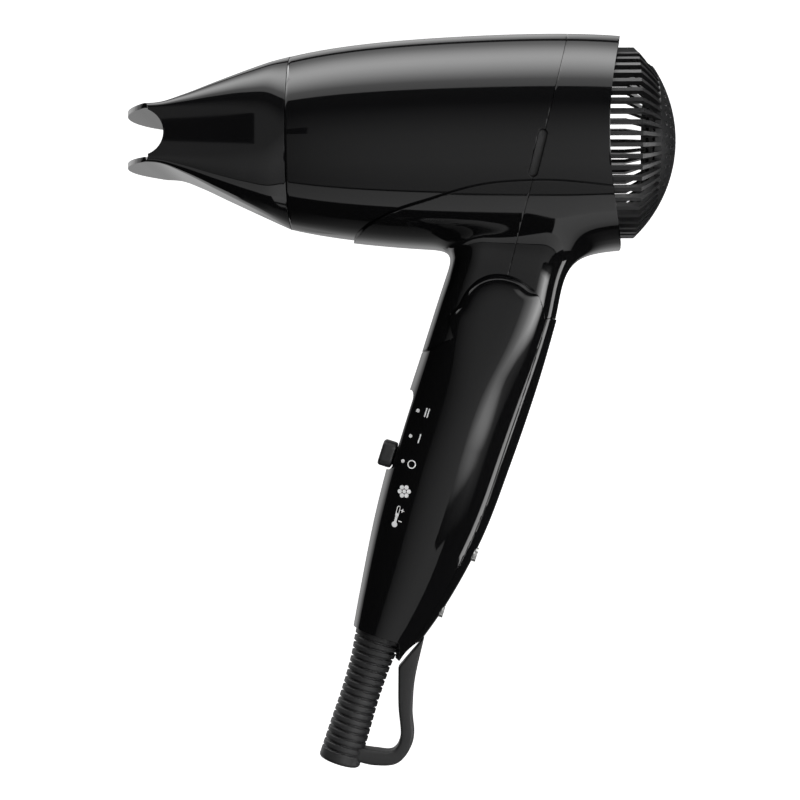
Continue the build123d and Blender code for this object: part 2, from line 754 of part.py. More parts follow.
with BuildPart() as circuit_board:
    add(switch_block(29.0, 71.0, 4.4, 6.0, 8.0))
    add(switch_contacts.part, mode=Mode.SUBTRACT)
save(circuit_board, "circuit_board", "darkgreen")

with BuildPart() as suppression_capacitor:
    add(switch_block(62.5, 70.0, 6.05, 12.0, 6.0))
    fillet(suppression_capacitor.edges().filter_by(Axis.Y), 0.8)
save(suppression_capacitor, "suppression_capacitor", "gold")

# ---- strain relief, cord clamp and hanging loop -------------------------

boot_plane = Plane(pivot + forward * boot_forward, x_dir=forward, z_dir=(0, 1, 0))
boot_axis = Axis(pivot + forward * boot_forward, down)
boot_groove_start = boot_top + 2.2
with BuildPart() as cable_boot:
    with BuildSketch(boot_plane):
        with BuildLine():
            flank = Spline((8.0, -boot_top), (6.9, -120), (6.5, -131), (6.8, -144), (7.0, -boot_end + 1.2))
            toe = ThreePointArc(flank @ 1, (6.55, -boot_end + 0.3), (5.6, -boot_end))
            Polyline(toe @ 1, (cord_bore_r, -boot_end), (cord_bore_r, -101.0), (7.4, -101.0),
                     (7.4, -104.2), (5.45, -104.2), (5.45, -boot_top), flank @ 0)
        make_face()
        with Locations([(7.6, -boot_groove_start - boot_groove_pitch * n) for n in range(boot_groove_count)]):
            Rectangle(3.1, boot_groove_width, mode=Mode.SUBTRACT)
    revolve(axis=boot_axis)
save(cable_boot, "cable_boot", "gray35")

with BuildPart() as cord_clamp:
    add(switch_block(91.5, 99.5, -2.5, 3.0, 7.6))
    with BuildSketch(Plane(pivot + forward * boot_forward + down * 91, x_dir=forward, z_dir=down)):
        Circle(cord_bore_r + 0.1)
    extrude(amount=10, mode=Mode.SUBTRACT)
    with BuildSketch(Plane(pivot + forward * -6, x_dir=down, z_dir=forward)):
        with Locations((97, 0)):
            Circle(2.8)
        with GridLocations(0, 12.0, 1, 2):
            with Locations((95, 0)):
                Circle(1.1)
    extrude(amount=14, mode=Mode.SUBTRACT)
save(cord_clamp, "cord_clamp", "gray70")

with BuildPart() as hanging_loop:
    with BuildSketch(Plane.XZ):
        with BuildLine():
            outside = Spline(
                (-7.6, -55.6), (-10.6, -69), (-11.5, -80), (-11.2, -89.6), (-16, -97), (-24, -98),
                (-32, -96.2),
            )
            inside = Spline(
                (-32, -91.6), (-24, -92.8), (-18, -92.9), (-15.5, -88), (-16.2, -78), (-16.2, -65.6)
            )
            Line(outside @ 1, inside @ 0)
            Line(inside @ 1, outside @ 0)
        make_face()
    extrude(amount=4.0, both=True)
    add(handle_form & handle_zone, mode=Mode.SUBTRACT)
    with BuildSketch(Plane(pivot + forward * boot_forward + down * boot_top, x_dir=forward, z_dir=down)):
        Circle(7.15)
    extrude(amount=60, mode=Mode.SUBTRACT)
save(hanging_loop, "hanging_loop", "teal")
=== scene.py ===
import json
import math

import bmesh
import bpy
import numpy as np
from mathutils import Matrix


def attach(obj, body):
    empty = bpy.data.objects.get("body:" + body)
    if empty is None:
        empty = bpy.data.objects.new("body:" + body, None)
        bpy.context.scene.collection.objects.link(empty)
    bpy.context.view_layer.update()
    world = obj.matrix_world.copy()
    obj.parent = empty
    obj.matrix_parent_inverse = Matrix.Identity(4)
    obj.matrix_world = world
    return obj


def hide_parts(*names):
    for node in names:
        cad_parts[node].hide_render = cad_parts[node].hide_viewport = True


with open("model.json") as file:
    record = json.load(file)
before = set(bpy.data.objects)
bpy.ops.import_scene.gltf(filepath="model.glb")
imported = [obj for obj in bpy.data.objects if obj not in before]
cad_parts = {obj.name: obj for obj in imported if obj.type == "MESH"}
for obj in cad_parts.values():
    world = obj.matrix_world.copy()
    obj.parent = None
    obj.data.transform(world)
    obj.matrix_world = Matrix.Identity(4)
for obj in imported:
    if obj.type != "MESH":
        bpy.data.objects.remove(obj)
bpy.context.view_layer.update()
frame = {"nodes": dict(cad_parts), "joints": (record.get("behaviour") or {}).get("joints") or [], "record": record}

import openvdb
from mathutils import Vector

MM = 0.001

# ---- sizes of the design, in millimetres ---------------------------------

axis_z = 108.8
seam_x, rim_x, rim_scoop = -51.7, 57.7, 6.5
barrel_outline = ((seam_x, 28.7), (-33.3, 31.9), (-9.7, 34.2), (14.0, 35.3), (40.0, 35.7), (rim_x, 34.8))
rim_half_chord, rim_extra = 43, 2.4       # half the chord of the rim's scoop, and its extra depth
lower_step = 1.0                         # the lower shell stands this far outside the upper one
latch_x, latch_z, latch_straight, latch_r = 28.7, 101.1, 6.15, 1.5
fold = next(j for j in frame["joints"] if j["name"] == "handle_fold")
pivot_x, _, pivot_z = (1000 * v for v in fold["pos_m"])
tilt = math.radians(17.5)
parting_tilt = math.radians(13.8)
front_seam_angle, rear_seam_angle = math.radians(-39.5), math.radians(160.5)
arch_r, neck_half_width, neck_corner = 15.4, 14.2, 9.5
recess_top, recess_bottom, recess_half, recess_floor, recess_corner = 30.2, 57.8, 7.4, 18.6, 3.0
slot_end_wall, slot_half, slot_depth = 1.5, 2.3, 3.5
knob_rest, knob_length, knob_top, knob_half = 52.6, 8.7, 23.6, 7.0
knob_lift = 0.25                         # the knob's gap over the recess floor
screw_stations, counterbore_r = (76, 97), 2.6
boot_top, boot_end, boot_forward, cord_bore_r = 110.8, 155.6, 5.9, 3.25
seam_gap = 0.07                          # half the gap between front and back shells

handle_stations = np.array((
    (-20, 20.2, -18.4, 17.0),
    (17, 20.5, -19.5, 17.0),
    (43, 20.6, -18.9, 17.0),
    (72, 19.3, -17.0, 16.0),
    (99, 16.4, -11.3, 13.0),
    (121, 13.6, -3.6, 10.6),
))
nozzle_stations = np.array((
    (seam_x - 0.2, 28.7, 28.7, 28.6),
    (-57.0, 26.1, 28.5, 21.5),
    (-65.0, 22.2, 28.2, 15.2),
    (-75.0, 17.4, 27.8, 9.6),
    (-85.0, 12.6, 27.5, 4.8),
    (-92.0, 9.9, 27.4, 2.2),
    (-99.0, 9.4, 27.2, 1.7),
    (-107.0, 9.3, 27.0, 1.6),
))
nozzle_tip_x, nozzle_centre_z = -106.2, 109.2
lip_edge_x, lip_half_width = -94.6, 28.5
notch_end_x, notch_straight, notch_r = -106, 7.7, 7.5


# ---- mesh tools -----------------------------------------------------------

def smooth_table(at, places, values):
    """A smooth curve through values at places, flat-sloped beyond the ends (monotone cubic)."""
    places, values = np.asarray(places, float), np.asarray(values, float)
    if places[0] > places[-1]:
        places, values = places[::-1], values[::-1]
    steps = np.diff(places)
    slopes = np.diff(values) / steps
    tangents = np.empty_like(values)
    tangents[1:-1] = (slopes[:-1] * steps[1:] + slopes[1:] * steps[:-1]) / (steps[1:] + steps[:-1])
    tangents[0], tangents[-1] = slopes[0], slopes[-1]
    at = np.clip(at, places[0], places[-1])
    i = np.clip(np.searchsorted(places, at) - 1, 0, len(steps) - 1)
    h = steps[i]
    t = (at - places[i]) / h
    return (
        (2 * t**3 - 3 * t**2 + 1) * values[i]
        + (t**3 - 2 * t**2 + t) * h * tangents[i]
        + (-2 * t**3 + 3 * t**2) * values[i + 1]
        + (t**3 - t**2) * h * tangents[i + 1]
    )


def barrel_r(x):
    """Outer radius of the upper shell along the barrel."""
    places, radii = np.array(barrel_outline).T
    fit = np.polyfit(places, radii, 4)
    return np.polyval(fit, np.clip(x, seam_x - 6, rim_x + 8))


def box_2d(u, v, half_u, half_v, radius):
    """Signed distance to a rounded rectangle."""
    du = np.abs(u) - (half_u - radius)
    dv = np.abs(v) - (half_v - radius)
    return np.hypot(np.maximum(du, 0), np.maximum(dv, 0)) + np.minimum(np.maximum(du, dv), 0) - radius


def soft_min(a, b, k):
    """Union of two distances with a fillet of about k."""
    h = np.maximum(k - np.abs(a - b), 0) / k
    return np.minimum(a, b) - h * h * h * k / 6


def soft_max(a, b, k):
    return -soft_min(-a, -b, k)


def handle_coords(x, z):
    """Forward of the hinge, and below it, along the tilted handle."""
    dx, dz = x - pivot_x, z - pivot_z
    ahead = -math.cos(tilt) * dx + math.sin(tilt) * dz
    below = -math.sin(tilt) * dx - math.cos(tilt) * dz
    return ahead, below


def handle_point(ahead, across, below):
    """The same, back to the frame."""
    x = pivot_x - math.cos(tilt) * ahead - math.sin(tilt) * below
    z = pivot_z + math.sin(tilt) * ahead - math.cos(tilt) * below
    return x, across, z


def isosurface(field, low, high, voxel):
    """A closed quad mesh where field(x, y, z) is 0, with its points moved onto the surface."""
    low = np.array(low, float)
    spans = [np.arange(low[i], high[i] + voxel, voxel) for i in range(3)]
    grid_points = np.meshgrid(*spans, indexing="ij")
    values = np.clip(field(*grid_points), -3 * voxel, 3 * voxel).astype(np.float32)
    grid = openvdb.FloatGrid(3 * voxel)
    grid.copyFromArray(values)
    points, triangles, quads = grid.convertToPolygons(0.0, 0.0)
    points = points.astype(float) * voxel + low
    eps = 0.02
    for _ in range(4):
        x, y, z = points.T
        value = field(x, y, z)
        slope = np.stack([
            (field(x + eps, y, z) - field(x - eps, y, z)) / (2 * eps),
            (field(x, y + eps, z) - field(x, y - eps, z)) / (2 * eps),
            (field(x, y, z + eps) - field(x, y, z - eps)) / (2 * eps),
        ], axis=1)
        length = np.maximum((slope**2).sum(axis=1), 0.05)
        points = points - np.clip(value / length, -voxel, voxel)[:, None] * slope
    faces = [tuple(int(v) for v in q) for q in quads] + [tuple(int(v) for v in t) for t in triangles]
    return points, faces


def grid_faces(rows, columns, closed):
    """Quads of a rows by columns sheet, joined round its columns if closed."""
    last = columns if closed else columns - 1
    faces = []
    for start in range(0, (rows - 1) * columns, columns):
        for c in range(last):
            after = (c + 1) % columns
            faces.append((start + c, start + after, start + columns + after, start + columns + c))
    return faces


def trim(bm, keep):
    """Cuts the mesh cleanly where keep(x, y, z) is 0 and leaves the part where it is positive."""
    home = bm.verts.layers.float_vector.get("home") or bm.verts.layers.float_vector.new("home")
    bm.verts.ensure_lookup_table()
    places = np.array([v.co for v in bm.verts])
    signs = keep(*places.T)
    for v, s in zip(bm.verts, signs):
        v[home] = v.co.copy()
        v.co = Vector((s, v.co.y, v.co.z))
    bmesh.ops.bisect_plane(
        bm, geom=bm.verts[:] + bm.edges[:] + bm.faces[:], dist=1e-4,
        plane_co=(0, 0, 0), plane_no=(1, 0, 0), clear_inner=True,
    )
    for v in bm.verts:
        v.co = v[home]


def make(name, points, faces, trims=()):
    """A mesh object from points in millimetres: faces turned outwards, trimmed, welded and smooth."""
    bm = bmesh.new()
    verts = [bm.verts.new(p) for p in points]
    for face in faces:
        if len(set(face)) == len(face):
            bm.faces.new([verts[i] for i in face])
    bm.normal_update()
    middle = Vector(np.asarray(points).mean(axis=0))
    outward = sum(f.normal.dot(f.calc_center_median() - middle) * f.calc_area() for f in bm.faces)
    if outward < 0:
        bmesh.ops.reverse_faces(bm, faces=bm.faces[:])
    for keep in trims:
        trim(bm, keep)
    bmesh.ops.remove_doubles(bm, verts=bm.verts[:], dist=0.004)
    bmesh.ops.dissolve_degenerate(bm, edges=bm.edges[:], dist=0.002)
    home = bm.verts.layers.float_vector.get("home")
    if home:
        bm.verts.layers.float_vector.remove(home)
    bmesh.ops.scale(bm, vec=(MM, MM, MM), verts=bm.verts[:])
    for f in bm.faces:
        f.smooth = True
    mesh = bpy.data.meshes.new(name)
    bm.to_mesh(mesh)
    bm.free()
    obj = bpy.data.objects.new(name, mesh)
    bpy.context.scene.collection.objects.link(obj)
    return obj


def thicken(obj, depth, edge, segments=2):
    """Gives a skin its wall, inwards, and softens the rim that this makes."""
    solid = obj.modifiers.new("wall", "SOLIDIFY")
    solid.thickness = depth * MM
    solid.offset = -1
    solid.use_quality_normals = True
    bevel = obj.modifiers.new("rim", "BEVEL")
    bevel.width = edge * MM
    bevel.segments = segments
    bevel.limit_method = "ANGLE"
    bevel.angle_limit = math.radians(55)


def finish_piece(obj, material, body, slot, *nodes):
    """Material, the body it rides on, its slot (not used) and the CAD nodes that it stands for."""
    obj.data.materials.clear()
    obj.data.materials.append(material)
    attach(obj, body)
    if nodes:
        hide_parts(*nodes)


# ---- materials ------------------------------------------------------------

def new_material(name, color, roughness, metallic=0.0, ior=1.5):
    material = bpy.data.materials.new(name)
    material.use_nodes = True
    shader = material.node_tree.nodes["Principled BSDF"]
    shader.inputs["Base Color"].default_value = (*color, 1)
    shader.inputs["Roughness"].default_value = roughness
    shader.inputs["Metallic"].default_value = metallic
    shader.inputs["IOR"].default_value = ior
    return material, material.node_tree, shader


def noise(tree, scale, detail=3.0, stretch=(1, 1, 1)):
    """Object-space noise, in metres."""
    coords = tree.nodes.new("ShaderNodeTexCoord")
    mapping = tree.nodes.new("ShaderNodeMapping")
    mapping.inputs["Scale"].default_value = stretch
    texture = tree.nodes.new("ShaderNodeTexNoise")
    texture.inputs["Scale"].default_value = scale
    texture.inputs["Detail"].default_value = detail
    tree.links.new(coords.outputs["Object"], mapping.inputs["Vector"])
    tree.links.new(mapping.outputs["Vector"], texture.inputs["Vector"])
    return texture.outputs["Fac"]


def ramp(tree, source, low, high, out_low, out_high):
    """Maps a factor's range to another."""
    remap = tree.nodes.new("ShaderNodeMapRange")
    remap.inputs["From Min"].default_value = low
    remap.inputs["From Max"].default_value = high
    remap.inputs["To Min"].default_value = out_low
    remap.inputs["To Max"].default_value = out_high
    tree.links.new(source, remap.inputs["Value"])
    return remap.outputs["Result"]


def bump(tree, shader, height, strength, distance):
    node = tree.nodes.new("ShaderNodeBump")
    node.inputs["Strength"].default_value = strength
    node.inputs["Distance"].default_value = distance
    tree.links.new(height, node.inputs["Height"])
    tree.links.new(node.outputs["Normal"], shader.inputs["Normal"])


def gloss_plastic(name):
    """Moulded black ABS: near-mirror gloss, faint handling haze and a trace of orange peel."""
    material, tree, shader = new_material(name, (0.0035, 0.0035, 0.0038), 0.05, ior=1.5)
    haze = noise(tree, 38, 5)
    tree.links.new(ramp(tree, haze, 0.35, 0.75, 0.035, 0.075), shader.inputs["Roughness"])
    bump(tree, shader, noise(tree, 160, 2), 0.02, 0.00004)
    return material


def matt_plastic(name, color, roughness, grain_scale, strength):
    """Spark-eroded matt plastic."""
    material, tree, shader = new_material(name, color, roughness)
    grain = noise(tree, grain_scale, 4)
    uneven = ramp(tree, grain, 0.3, 0.7, roughness - 0.06, roughness + 0.08)
    tree.links.new(uneven, shader.inputs["Roughness"])
    bump(tree, shader, grain, strength, 0.00008)
    return material


def metal(name, color, roughness, stretch):
    material, tree, shader = new_material(name, color, roughness, metallic=1.0)
    streaks = noise(tree, 400, 3, stretch)
    uneven = ramp(tree, streaks, 0.3, 0.7, roughness - 0.05, roughness + 0.1)
    tree.links.new(uneven, shader.inputs["Roughness"])
    bump(tree, shader, streaks, 0.05, 0.00003)
    return material


black_gloss = gloss_plastic("black_gloss")
black_matt = matt_plastic("black_matt", (0.012, 0.012, 0.0125), 0.42, 2600, 0.12)
grille_black = matt_plastic("grille_black", (0.009, 0.009, 0.0095), 0.34, 2200, 0.08)
rubber_black = matt_plastic("rubber_black", (0.014, 0.014, 0.0145), 0.52, 1900, 0.16)
white_print = matt_plastic("white_print", (0.94, 0.94, 0.94), 0.5, 3000, 0.03)
steel = metal("steel", (0.56, 0.56, 0.55), 0.28, (1, 8, 8))
brass = metal("brass", (0.72, 0.52, 0.24), 0.3, (1, 1, 6))
copper = metal("copper", (0.75, 0.34, 0.18), 0.3, (1, 1, 6))
heater_wire = metal("heater_wire", (0.33, 0.3, 0.28), 0.38, (6, 1, 1))
mica = matt_plastic("mica", (0.5, 0.43, 0.3), 0.45, 700, 0.2)
board_green = matt_plastic("board_green", (0.015, 0.11, 0.04), 0.4, 900, 0.05)
nylon_grey = matt_plastic("nylon_grey", (0.05, 0.05, 0.053), 0.5, 1500, 0.1)
component_dark = matt_plastic("component_dark", (0.02, 0.02, 0.022), 0.45, 1500, 0.1)
component_pale = matt_plastic("component_pale", (0.55, 0.47, 0.22), 0.4, 1200, 0.08)

slot_materials = {
    "shell_gloss": black_gloss, "trim_matt": black_matt, "rubber": rubber_black, "steel": steel,
    "brass": brass, "copper": copper, "mica": mica, "board_green": board_green,
    "heater_wire": heater_wire, "nylon": nylon_grey, "component_dark": component_dark,
    "component_pale": component_pale,
}
for part in frame["record"]["subparts"]:
    node = frame["nodes"][part["node"]]
    for place in node.material_slots:
        place.material = slot_materials[part["material_slot"]]
for place in frame["nodes"]["rear_grille"].material_slots:
    place.material = grille_black

# ---- outlines shared by the shells ---------------------------------------

swoosh_points = np.array(((-38, 70), (-26, 79.2), (-4, 87.3), (9, 90.8), (28, 92.4), (62, 89.6)))


def above_swoosh(x, y, z):
    """Positive above the line between the upper and lower shells."""
    line = smooth_table(x, swoosh_points[:, 0], swoosh_points[:, 1])
    start_x, start_z = swoosh_points[0]
    line = np.where(x < start_x, start_z + (x - start_x), line)
    return z - line


def behind_parting(x, y, z):
    """Positive behind the plane where front and rear shells meet."""
    return (x - pivot_x) * math.cos(parting_tilt) - (z - pivot_z) * math.sin(parting_tilt)


def inside_rim(x, y, z):
    """Positive forward of the scooped rim."""
    sagitta = rim_scoop + rim_extra
    radius = (rim_half_chord**2 + sagitta**2) / (2 * sagitta)
    return np.hypot(x - (rim_x - rim_scoop + radius), z - axis_z) - radius


def outside_latch(x, y, z):
    """Positive outside the latch recess."""
    dx, dz = x - latch_x, z - latch_z
    along = dx * math.sin(parting_tilt) + dz * math.cos(parting_tilt)
    side = dx * math.cos(parting_tilt) - dz * math.sin(parting_tilt)
    return np.hypot(np.maximum(np.abs(along) - latch_straight, 0), side) - latch_r


def in_neck_zone(x, y, z):
    """Positive inside the neck's tongue, seen from the side."""
    ahead, below = handle_coords(x, z)
    up = -below
    front_side = math.cos(front_seam_angle) * up - math.sin(front_seam_angle) * ahead
    rear_side = math.sin(rear_seam_angle) * ahead - math.cos(rear_seam_angle) * up
    disc = arch_r - 0.5 - np.hypot(ahead, up)
    return np.maximum(np.maximum(front_side, rear_side), disc)


def sheet_shell(x_start, x_end):
    """The barrel's skin as a fine sheet of rings."""
    rows, columns = int((x_end - x_start) / 0.8), 288
    xs = np.linspace(x_start, x_end, rows)
    angles = np.linspace(0, 2 * math.pi, columns, endpoint=False)
    xx, aa = np.meshgrid(xs, angles, indexing="ij")
    rr = barrel_r(xx)
    points = np.stack([xx, rr * np.sin(aa), axis_z + rr * np.cos(aa)], axis=-1).reshape(-1, 3)
    return points, grid_faces(rows, columns, True)


# ---- barrel shells --------------------------------------------------------

points, faces = sheet_shell(seam_x, rim_x + 3)
upper_trims = [above_swoosh, inside_rim, outside_latch]
upper_front = make("upper_front_skin", points, faces,
                   upper_trims + [lambda x, y, z: -behind_parting(x, y, z) - seam_gap])
upper_rear = make("upper_rear_skin", points, faces,
                  upper_trims + [lambda x, y, z: behind_parting(x, y, z) - seam_gap])
for skin, node in ((upper_front, "upper_front_shell"), (upper_rear, "upper_rear_shell")):
    thicken(skin, 2.1, 0.16)
    finish_piece(skin, black_gloss, "barrel", "shell_gloss", node)


def lower_field(x, y, z):
    """Lower shell and neck, one form with fillets where the neck flares into the barrel."""
    barrel = np.hypot(y, z - axis_z) - (barrel_r(x) + lower_step)
    ahead, below = handle_coords(x, z)
    up = -below
    front = 20.45 - 0.012 * np.maximum(up, 0)
    back = smooth_table(up, (-30, 6, 20, 45), (-19.6, -18.4, -16.9, -16.2))
    neck = box_2d(ahead - (front + back) / 2, y, (front - back) / 2, neck_half_width, neck_corner)
    blend = 9.0 + 9.0 / (1 + np.exp(np.clip(ahead / 4, -30, 30)))
    return soft_min(barrel, neck, blend)


points, faces = isosurface(lower_field, (-44, -40, 30), (66, 40, 99), 0.75)
lower_trims = [
    lambda x, y, z: -above_swoosh(x, y, z) + 0.05,
    inside_rim,
    in_neck_zone,
    lambda x, y, z: 96 - z,
    lambda x, y, z: z - 31,
]
lower_front = make("lower_front_skin", points, faces,
                   lower_trims + [lambda x, y, z: -behind_parting(x, y, z) - seam_gap])
lower_rear = make("lower_rear_skin", points, faces,
                  lower_trims + [lambda x, y, z: behind_parting(x, y, z) - seam_gap])
for skin, node in ((lower_front, "lower_front_shell"), (lower_rear, "lower_rear_shell")):
    thicken(skin, 1.7, 0.2)
    finish_piece(skin, black_gloss, "barrel", "shell_gloss", node)

# ---- handle ---------------------------------------------------------------

def handle_power(below):
    """How boxy the handle's section is: squarer round the hinge, nearly an ellipse in the grip."""
    return smooth_table(below, (-20, 0, 22, 60), (3.3, 2.9, 2.12, 2.05))


def handle_sizes(below):
    """The handle's front, back and half width at a place along it."""
    return [smooth_table(below, handle_stations[:, 0], handle_stations[:, k]) for k in (1, 2, 3)]


def handle_section(ahead, across, below):
    """Distance-like field of the handle's form, with soft, crowned sides."""
    front, back, half = handle_sizes(below)
    centre, depth = (front + back) / 2, (front - back) / 2
    power = handle_power(below)
    u = np.abs(ahead - centre) / depth
    v = np.abs(across) / half
    ratio = (u**power + v**power) ** (1 / power)
    return (ratio - 1) * np.minimum(depth, half)


def handle_field(x, y, z):
    """The handle with its arch shoulders rounded over."""
    ahead, below = handle_coords(x, z)
    up = -below
    section = handle_section(ahead, y, below)
    # These two fall far below 0 under the seams, so that only the arch is rounded.
    steep, past, inset, rounding = 1.6, 16.0, 0.8, 11.0
    above_front = steep * (math.cos(front_seam_angle) * up - math.sin(front_seam_angle) * ahead) - past
    above_rear = steep * (math.sin(rear_seam_angle) * ahead - math.cos(rear_seam_angle) * up) - past
    arch = soft_min(np.hypot(ahead, up) - arch_r, np.maximum(above_front, above_rear), 4.0)
    return soft_max(section, arch - inset, rounding)


def in_handle(x, y, z):
    """Positive below the seams round the hinge and inside the arch."""
    ahead, below = handle_coords(x, z)
    up = -below
    front_side = math.sin(front_seam_angle) * ahead - math.cos(front_seam_angle) * up - 0.3
    rear_side = math.cos(rear_seam_angle) * up - math.sin(rear_seam_angle) * ahead - 0.3
    disc = arch_r - np.hypot(ahead, up)
    return np.maximum(np.minimum(front_side, rear_side), disc)


def above_tail(x, y, z):
    """Positive inside the foot of the handle: the flat end at the strain relief and the tail's curve."""
    ahead, below = handle_coords(x, z)
    foot = boot_top - 0.2 - below
    tail = np.minimum(117.4 - below, -1.35 - (below - boot_top) * 0.29 - ahead)
    hollow = np.hypot(ahead + 16.2, below - 118.6) - 13.1
    return np.minimum(np.maximum(foot, tail), hollow)


def behind_spine(x, y, z):
    """Positive in the back cover's strip."""
    ahead, below = handle_coords(x, z)
    edge = smooth_table(below, (-16, 30, 72, 99, 106), (-15.4, -15.4, -13.6, -8.4, -6.6))
    return edge - ahead


def outside_recess(x, y, z):
    """Positive outside the switch's recess in the front face."""
    ahead, below = handle_coords(x, z)
    middle, reach = (recess_top + recess_bottom) / 2, (recess_bottom - recess_top) / 2
    plan = box_2d(below - middle, y, reach, recess_half, recess_corner)
    return np.where(ahead > 10, plan, 5.0)


def outside_screws(x, y, z):
    """Positive outside the two counterbores in the back cover."""
    ahead, below = handle_coords(x, z)
    nearest = np.minimum(*(np.hypot(below - station, y) for station in screw_stations))
    return np.where(ahead < 0, nearest - counterbore_r, 5.0)


def handle_mesh():
    """Worked out upright, along its own axis, then tilted into place."""
    def upright(ahead, across, below):
        x, y, z = handle_point(ahead, across, below)
        return handle_field(x, y, z)
    local, faces = isosurface(upright, (-24, -20, -19), (25, 20, 123), 0.62)
    x, y, z = handle_point(*local.T)
    return np.stack([x, y, z], axis=1), faces


points, faces = handle_mesh()
handle_trims = [in_handle, above_tail]
handle_front = make("handle_front_skin", points, faces,
                    handle_trims + [outside_recess, lambda x, y, z: -behind_spine(x, y, z) - seam_gap])
handle_back = make("handle_back_skin", points, faces,
                   handle_trims + [outside_screws, lambda x, y, z: behind_spine(x, y, z) - seam_gap])
for skin, node in ((handle_front, "handle_front_shell"), (handle_back, "handle_back_cover")):
    thicken(skin, 1.9, 0.2)
    finish_piece(skin, black_gloss, "handle", "shell_gloss", node)


def recess_ring(length, half, columns):
    """Points round the recess, as (below, across) from its middle, with its corners rounded."""
    ring = []
    for k in range(columns):
        a = 2 * math.pi * (k + 0.5) / columns
        u, v = math.cos(a), math.sin(a)
        reach = min(length / 2 / max(abs(u), 1e-6), half / max(abs(v), 1e-6))
        b, y = u * reach, v * reach
        over_b = abs(b) - (length / 2 - recess_corner)
        over_y = abs(y) - (half - recess_corner)
        if over_b > 0 and over_y > 0:
            shrink = recess_corner / max(math.hypot(over_b, over_y), recess_corner)
            b = math.copysign(length / 2 - recess_corner + over_b * shrink, b)
            y = math.copysign(half - recess_corner + over_y * shrink, y)
        ring.append((b, y))
    return ring


def switch_recess():
    """The wall and floor of the switch's recess, and the slot for the knob's stem."""
    columns, wall_rows = 48, 5
    middle, length = (recess_top + recess_bottom) / 2, recess_bottom - recess_top
    ring = recess_ring(length, recess_half + 0.1, columns)
    points = []
    for row in range(wall_rows):
        for b, across in ring:
            below = middle + b
            front, back, half = handle_sizes(below)
            power = handle_power(below)
            rise = (1 - (abs(across) / half) ** power) ** (1 / power)
            surface = (front + back) / 2 + rise * (front - back) / 2 - 0.08
            floor_at = min(recess_floor, surface - 0.25)
            share = row / (wall_rows - 1)
            points.append(handle_point(float(surface + (floor_at - surface) * share), across, below))
    slot_length = length / 2 - slot_end_wall
    for depth in (0.05, slot_depth):
        for b, across in ring:
            b = max(-slot_length, min(slot_length, b))
            y = max(-slot_half, min(slot_half, across))
            points.append(handle_point(recess_floor - depth, y, middle + b))
    recess = make("switch_recess", points, grid_faces(wall_rows + 2, columns, True))
    finish_piece(recess, black_gloss, "handle", "shell_gloss")


switch_recess()

# ---- nozzle ---------------------------------------------------------------

def nozzle_skin():
    """Rings of rounded rectangles, from the round outlet to the flat lips."""
    rows = 110
    xs = np.linspace(seam_x - 0.2, -107, rows)
    half_z = smooth_table(xs, nozzle_stations[:, 0], nozzle_stations[:, 1])
    half_y = smooth_table(xs, nozzle_stations[:, 0], nozzle_stations[:, 2])
    radius = smooth_table(xs, nozzle_stations[:, 0], nozzle_stations[:, 3])
    lift = axis_z + (nozzle_centre_z - axis_z) * np.clip((seam_x - xs) / 35, 0, 1)
    corner_steps, side_steps = 22, 26
    points = []
    for x, hz, hy, r, cz in zip(xs, half_z, half_y, radius, lift):
        r = min(r, hz - 0.02, hy - 0.02)
        ring = []
        for quarter in range(4):
            start = quarter * math.pi / 2
            cy = (hy - r) * (1 if quarter in (0, 3) else -1)
            cc = (hz - r) * (1 if quarter in (0, 1) else -1)
            arc = [start + math.pi / 2 * k / corner_steps for k in range(corner_steps + 1)]
            corner = [(cy + r * math.cos(a), cc + r * math.sin(a)) for a in arc]
            ring.extend(corner)
            next_quarter = (quarter + 1) % 4
            ny = (hy - r) * (1 if next_quarter in (0, 3) else -1)
            nc = (hz - r) * (1 if next_quarter in (0, 1) else -1)
            a = arc[-1]
            end = (ny + r * math.cos(a), nc + r * math.sin(a))
            for k in range(1, side_steps):
                t = k / side_steps
                ring.append((corner[-1][0] * (1 - t) + end[0] * t, corner[-1][1] * (1 - t) + end[1] * t))
        points.extend((x, p, cz + q) for p, q in ring)
    columns = len(points) // rows
    return np.array(points), grid_faces(rows, columns, True)


def inside_lips(x, y, z):
    """Positive inside the lips, which are round in plan."""
    sagitta = lip_edge_x - nozzle_tip_x
    radius = (lip_half_width**2 + sagitta**2) / (2 * sagitta)
    centre = nozzle_tip_x + radius
    return np.where(x < centre, radius - np.hypot(x - centre, y), 5.0)


def outside_notch(x, y, z):
    """Positive outside the notch between the lips."""
    past_straight = np.maximum(np.abs(x - notch_end_x) - notch_straight, 0)
    return np.hypot(past_straight, z - nozzle_centre_z) - notch_r


points, faces = nozzle_skin()
nozzle = make("nozzle_skin", points, faces, [inside_lips, outside_notch])
thicken(nozzle, 1.6, 0.3, 3)
finish_piece(nozzle, black_gloss, "nozzle", "shell_gloss", "nozzle")

# ---- knob, strain relief and loop ----------------------------------------

def knob_field(ahead, across, below):
    """A rounded block with a finger dish, on a stem."""
    half_height = (knob_top - recess_floor - knob_lift) / 2
    middle = recess_floor + knob_lift + half_height
    plan = box_2d(below - knob_rest, across, knob_length / 2, knob_half, 2.4)
    side = np.abs(ahead - middle) - half_height
    block = soft_max(plan, side, 1.6)
    dish_r, dish_centre = 7.0, 5.9
    dish = dish_r - np.sqrt((ahead - knob_top - dish_centre) ** 2 + (below - knob_rest) ** 2 + across**2)
    stem_plan = box_2d(below - knob_rest, across, 3.2, 1.9, 0.8)
    stem = np.maximum(stem_plan, np.abs(ahead - recess_floor) - 2.0)
    return np.minimum(soft_max(block, dish, 0.8), stem)


